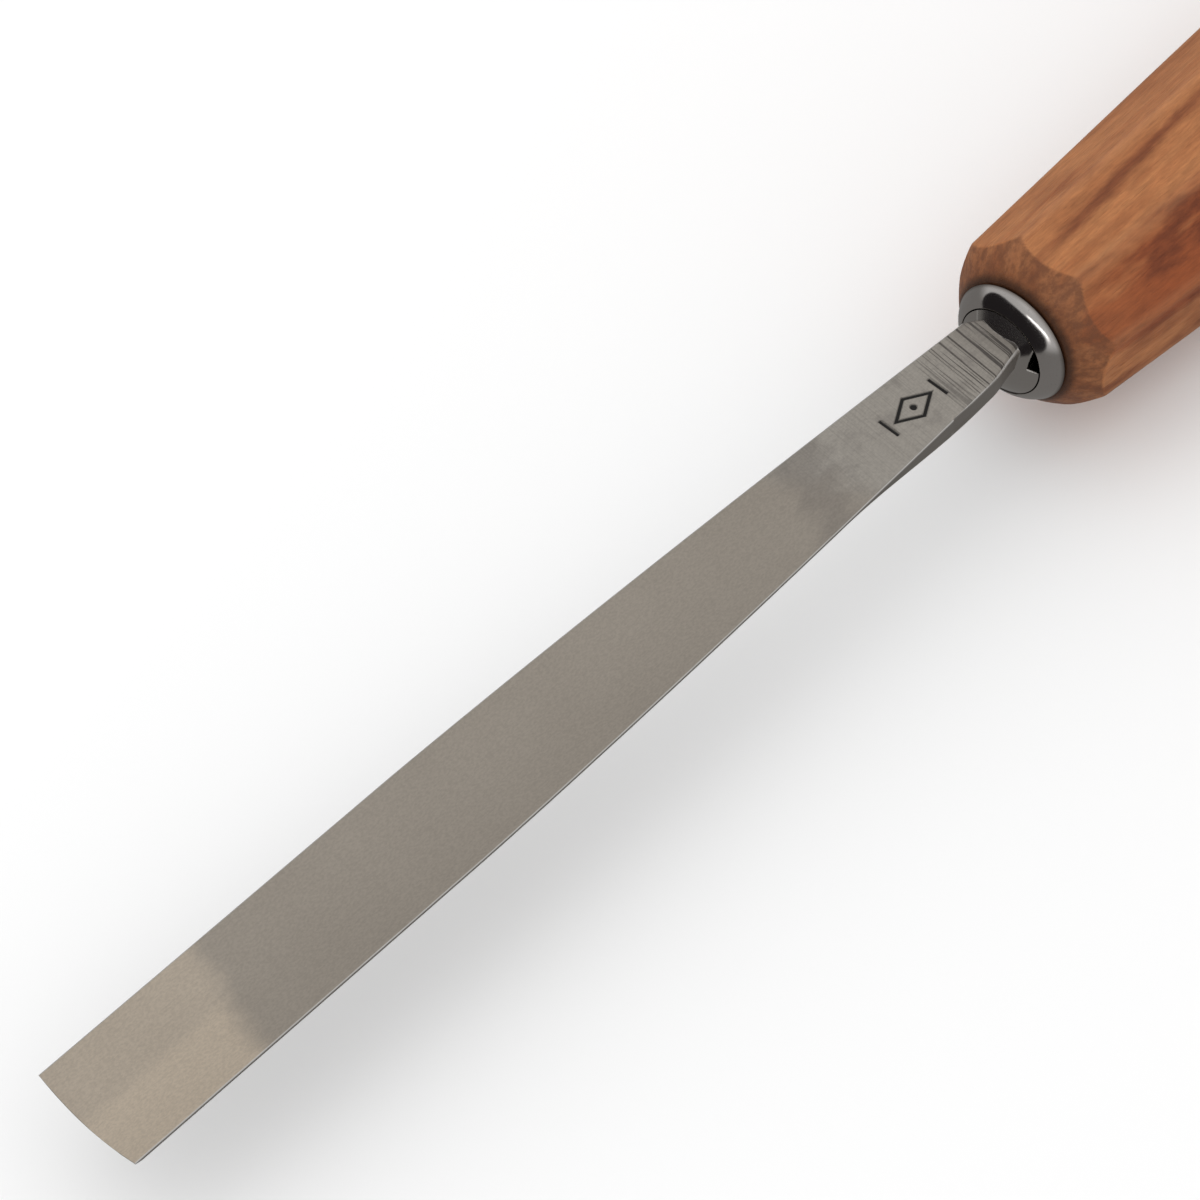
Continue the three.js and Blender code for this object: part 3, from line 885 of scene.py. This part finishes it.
def wood_material(settings):
    material, graph, shader, space = new_material("Oiled Hardwood")
    position, along, across, up = (space[k] for k in ("Position", "Along", "Across", "Up"))

    # Growth layers: nearly flat sheets, edge-on at the top facet and face-on at the one beside it
    lay = math.radians(50)
    depth = graph.times_plus(across, math.sin(lay), graph.times(up, math.cos(lay)))
    waver = graph.math("SUBTRACT", graph.noise(position, (0.03, 0.14, 0.14), 2.0), 0.5)
    ripple = graph.math("SUBTRACT", graph.noise(position, (0.22, 0.9, 0.9), 3.0, 0.55), 0.5)
    layer = graph.times_plus(waver, 2.2, depth)
    layer = graph.times_plus(ripple, 0.8, layer)
    blotches = graph.noise(position, (0.10, 0.30, 0.30), 3.0, 0.55)
    mottle = graph.noise(position, (0.45, 1.3, 1.3), 4.0, 0.6)
    sheets = graph.node("ShaderNodeTexNoise", {"W": layer, "Scale": 0.6, "Detail": 2.0, "Roughness": 0.5},
                        noise_dimensions="1D").outputs["Fac"]

    # One dark sheet, and the red heart under the facet that the layers face
    dark_sheet = graph.times(graph.ramp(layer, 4.4, 5.3), graph.ramp(layer, 6.1, 5.4))
    inward = graph.times_plus(along, 0.05, graph.times_plus(blotches, 2.2, layer))
    heart = graph.times(graph.ramp(inward, 8.9, 10.1), graph.ramp(along, -3.0, -14.0, 0.80, 1.0))

    # Fibres, and the fine hairs and pores between them
    fibre = graph.noise(position, (0.30, 4.2, 4.2), 3.0, 0.6)
    hair = graph.noise(position, (0.8, 10.0, 10.0), 2.0, 0.6)
    pores = graph.ramp(graph.noise(position, (0.3, 6.0, 6.0), 2.0, 0.5), 0.60, 0.74)

    red = graph.times(graph.ramp(sheets, 0.45, 0.70), 0.30)
    red = graph.times_plus(graph.ramp(blotches, 0.40, 0.70), 0.35, red)
    red = graph.math("MAXIMUM", red, heart)
    colour = graph.blend(red, settings.pale_wood, settings.red_wood)
    darkness = graph.times(dark_sheet, graph.ramp(blotches, 0.35, 0.60, 0.25, 0.70))
    core = graph.times(heart, graph.ramp(blotches, 0.47, 0.60, 0.0, 0.60))
    core = graph.times(core, graph.ramp(along, -7.0, -12.0, 0.3, 1.0))
    core = graph.times(core, graph.ramp(mottle, 0.35, 0.60, 0.5, 1.0))
    colour = graph.blend(graph.math("MAXIMUM", darkness, core), colour, settings.dark_streak)
    lighter = graph.ramp(fibre, 0.3, 0.7, 0.91, 1.09)
    lighter = graph.times(lighter, graph.ramp(hair, 0.3, 0.7, 0.94, 1.06))
    lighter = graph.times(lighter, graph.ramp(mottle, 0.3, 0.7, 1.08, 0.92))
    lighter = graph.times(lighter, graph.ramp(blotches, 0.35, 0.65, 1.08, 0.94))
    shade = graph.node("ShaderNodeVectorMath", {0: colour, "Scale": lighter}, operation="SCALE").outputs[0]
    colour = graph.blend(graph.times(pores, 0.18), shade, settings.dark_streak)

    # Rubbed arrises, handling, end grain on the nose, burnished wood near the ring, and a painted shadow
    # where the wood meets the ring
    wear = graph.group(shared_group("Edge Wear"), {"Position": position, "Edge": graph.attribute("arris"),
                                                   "Unevenness": 0.9}).outputs["Wear"]
    handled = graph.group(shared_group("Handling"), {"Position": position, "Patch Size": 0.07,
                                                     "Speck Size": 1.6}).outputs
    colour = graph.blend(graph.times(wear, 0.22), colour, RUBBED_WOOD)
    colour = graph.blend(graph.times(handled["Patches"], 0.10), colour, settings.red_wood)
    end_grain = graph.times(graph.attribute("nose"), graph.ramp(mottle, 0.35, 0.65, 0.45, 0.85))
    colour = graph.blend(end_grain, colour, END_GRAIN)
    burnish = graph.ramp(along, -2.6, -0.5)
    colour = graph.blend(graph.times(burnish, 0.35), colour, BURNISHED_WOOD)
    # Painted shadow: the wood next to the ring darkened almost to black.
    gap_shadow = graph.ramp(along, -1.0, -0.3)
    colour = graph.blend(graph.times(gap_shadow, 0.8), colour, GAP_SHADOW)
    graph.feed(shader.inputs["Base Color"], colour)

    rough = graph.ramp(fibre, 0.3, 0.7, 0.50, 0.40)
    rough = graph.times_plus(pores, 0.2, rough)
    rough = graph.times_plus(burnish, -0.10, rough)
    rough = graph.times_plus(wear, -0.05, rough)
    graph.feed(shader.inputs["Roughness"], rough)
    shader.inputs["Specular IOR Level"].default_value = 0.28
    shader.inputs["Coat Weight"].default_value = 0.05
    shader.inputs["Coat Roughness"].default_value = 0.3
    height = graph.times_plus(pores, -0.5, graph.times(fibre, 0.6))
    height = graph.times_plus(hair, 0.2, height)
    bump(graph, shader, height, 0.04)
    return material


def make_handle(settings):
    rows = handle_rows(settings)
    handle = skin("handle_wood", rows, handle_masks(rows), 50.0)
    finish_piece(handle, "handle", wood_material(settings))
    return handle


# ---- Stage --------------------------------------------------------------------------------------
LOOK_AT = (52.3, -6.0, 1.5)
VIEW_FROM = Vector((0.458, 0.392, 0.798))
FLOOR_REACH = 3.0
LAMP_SPOT, LAMP_SIZE, LAMP_POWER = (0.30, -0.70, 0.90), (1.6, 1.2), 3.5

# Greys of the room, and where the doorway stands in it: degrees round from the cutting edge, and up
LOW_ROOM, HIGH_ROOM, CEILING = (0.20, 0.195, 0.19), (0.52, 0.52, 0.52), (0.62, 0.62, 0.62)
LAMP_STRIP, DOORWAY = (3.0, 3.0, 3.0), (0.018, 0.016, 0.017)
SOFT_LIGHT, BACKDROP = (1.0, 1.0, 1.0), (0.98, 0.98, 0.98)
DOORWAY_TURN, DOORWAY_HALF_WIDTH = -12, 60
DOORWAY_RISE, DOORWAY_HALF_HEIGHT = 15, 30


def make_camera(settings):
    data = bpy.data.cameras.new("camera")
    data.sensor_width = 36.0
    data.lens = settings.focal_length
    data.clip_start, data.clip_end = 0.01, 20.0
    camera = bpy.data.objects.new("camera", data)
    back = VIEW_FROM.normalized()
    upright = back.to_track_quat("Z", "Y").to_matrix()
    camera.matrix_world = Matrix.Translation(
        Vector(place(*LOOK_AT)) + back * settings.camera_distance) @ (
            upright @ Matrix.Rotation(settings.roll, 3, "Z")).to_4x4()
    bpy.context.scene.collection.objects.link(camera)
    bpy.context.scene.camera = camera


def make_floor(settings):
    mesh = bpy.data.meshes.new("floor")
    corners = ((-1, -1), (1, -1), (1, 1), (-1, 1))
    mesh.from_pydata([(x * FLOOR_REACH, y * FLOOR_REACH, cad_low.z) for x, y in corners], [], [(0, 1, 2, 3)])
    floor = bpy.data.objects.new("floor", mesh)
    bpy.context.scene.collection.objects.link(floor)
    material = bpy.data.materials.new("Pale Floor")
    material.use_nodes = True
    shader = material.node_tree.nodes["Principled BSDF"]
    shader.inputs["Base Color"].default_value = (*settings.floor_colour, 1.0)
    shader.inputs["Roughness"].default_value = 0.9
    shader.inputs["Specular IOR Level"].default_value = 0.0
    mesh.materials.append(material)
    floor.visible_glossy = False


def make_lamp(name, spot, size, power):
    """A soft lamp of (length along Y, width) metres, aimed at the middle of the tool."""
    data = bpy.data.lights.new(name, "AREA")
    data.shape = "RECTANGLE"
    data.size_y, data.size = size
    data.energy = power
    lamp = bpy.data.objects.new(name, data)
    lamp.location = spot
    lamp.rotation_euler = Vector(spot).to_track_quat("Z", "Y").to_euler()
    lamp.visible_glossy = False
    bpy.context.scene.collection.objects.link(lamp)


def make_world():
    """A pale, softly lit room. The polished steel shows a dark doorway beyond the cutting edge, and a
    bright lamp strip bent round the right of it."""
    world = bpy.data.worlds.new("room")
    world.use_nodes = True
    graph = Graph(world.node_tree)
    background = world.node_tree.nodes["Background"]
    towards = graph.node("ShaderNodeTexCoord").outputs["Generated"]
    ahead, right, up = graph.node("ShaderNodeSeparateXYZ", {0: towards}).outputs
    turn, rise = graph.math("ARCTAN2", right, ahead), graph.math("ARCSINE", up)

    def offset(angle, middle, reach):
        off = graph.math("SUBTRACT", angle, math.radians(middle))
        return graph.math("POWER", graph.math("DIVIDE", off, math.radians(reach)), 2.0)

    away = graph.math("ADD", offset(turn, DOORWAY_TURN, DOORWAY_HALF_WIDTH),
                      offset(rise, DOORWAY_RISE, DOORWAY_HALF_HEIGHT))
    strip = graph.times(graph.ramp(away, 1.10, 1.18), graph.ramp(away, 1.45, 1.30))
    strip = graph.times(strip, graph.ramp(turn, math.radians(0), math.radians(16)))
    strip = graph.times(strip, graph.ramp(rise, math.radians(12), math.radians(34)))
    room = graph.blend(graph.ramp(up, -0.1, 0.25), LOW_ROOM, HIGH_ROOM)
    room = graph.blend(graph.ramp(up, 0.80, 0.96), room, CEILING)
    room = graph.blend(strip, room, LAMP_STRIP)
    room = graph.blend(graph.ramp(away, 0.93, 1.08), DOORWAY, room)
    rays = graph.node("ShaderNodeLightPath").outputs
    room = graph.blend(rays["Is Diffuse Ray"], room, SOFT_LIGHT)
    room = graph.blend(rays["Is Camera Ray"], room, BACKDROP)
    graph.feed(background.inputs["Color"], room)
    background.inputs["Strength"].default_value = 1.0
    bpy.context.scene.world = world


def make_stage(settings):
    make_camera(settings)
    make_floor(settings)
    make_world()
    make_lamp("window", LAMP_SPOT, LAMP_SIZE, LAMP_POWER)
    bpy.context.scene.view_settings.view_transform = "Standard"


# ---- Add-on -------------------------------------------------------------------------------------
class GOUGE_OT_stage(bpy.types.Operator):
    """Make the floor, the lights and the camera"""

    bl_idname = "gouge.stage"
    bl_label = "Make Stage"

    def execute(self, context):
        make_stage(context.scene.gouge_stage)
        return {"FINISHED"}


class GOUGE_OT_blade(bpy.types.Operator):
    """Make the blade with its boss and tang"""

    bl_idname = "gouge.blade"
    bl_label = "Make Blade"

    def execute(self, context):
        make_blade(context.scene.gouge_blade)
        return {"FINISHED"}


class GOUGE_OT_ring(bpy.types.Operator):
    """Make the polished ferrule ring"""

    bl_idname = "gouge.ring"
    bl_label = "Make Ring"

    def execute(self, context):
        make_ring(context.scene.gouge_ring)
        return {"FINISHED"}


class GOUGE_OT_handle(bpy.types.Operator):
    """Make the octagonal wooden handle"""

    bl_idname = "gouge.handle"
    bl_label = "Make Handle"

    def execute(self, context):
        make_handle(context.scene.gouge_handle)
        return {"FINISHED"}


class GOUGE_PT_panel(bpy.types.Panel):
    """Settings and operators of the carving gouge"""

    bl_idname = "GOUGE_PT_panel"
    bl_label = "Carving Gouge"
    bl_space_type = "VIEW_3D"
    bl_region_type = "UI"
    bl_category = "Gouge"

    def draw(self, context):
        for part, operator in PARTS:
            box = self.layout.box()
            settings = getattr(context.scene, part)
            for name in settings.bl_rna.properties.keys():
                if name not in ("rna_type", "name"):
                    box.prop(settings, name)
            box.operator(operator)


PARTS = (("gouge_stage", "gouge.stage"), ("gouge_blade", "gouge.blade"),
         ("gouge_ring", "gouge.ring"), ("gouge_handle", "gouge.handle"))
SETTINGS = {"gouge_stage": StageSettings, "gouge_blade": BladeSettings,
            "gouge_ring": RingSettings, "gouge_handle": HandleSettings}
CLASSES = (StageSettings, BladeSettings, RingSettings, HandleSettings, GOUGE_OT_stage, GOUGE_OT_blade,
           GOUGE_OT_ring, GOUGE_OT_handle, GOUGE_PT_panel)


def register():
    for made in CLASSES:
        bpy.utils.register_class(made)
    for name, settings in SETTINGS.items():
        setattr(bpy.types.Scene, name, PointerProperty(type=settings))


def unregister():
    for name in SETTINGS:
        delattr(bpy.types.Scene, name)
    for made in reversed(CLASSES):
        bpy.utils.unregister_class(made)


def main():
    register()
    bpy.ops.gouge.stage()
    bpy.ops.gouge.blade()
    bpy.ops.gouge.ring()
    bpy.ops.gouge.handle()


if __name__ == "__main__":
    main()
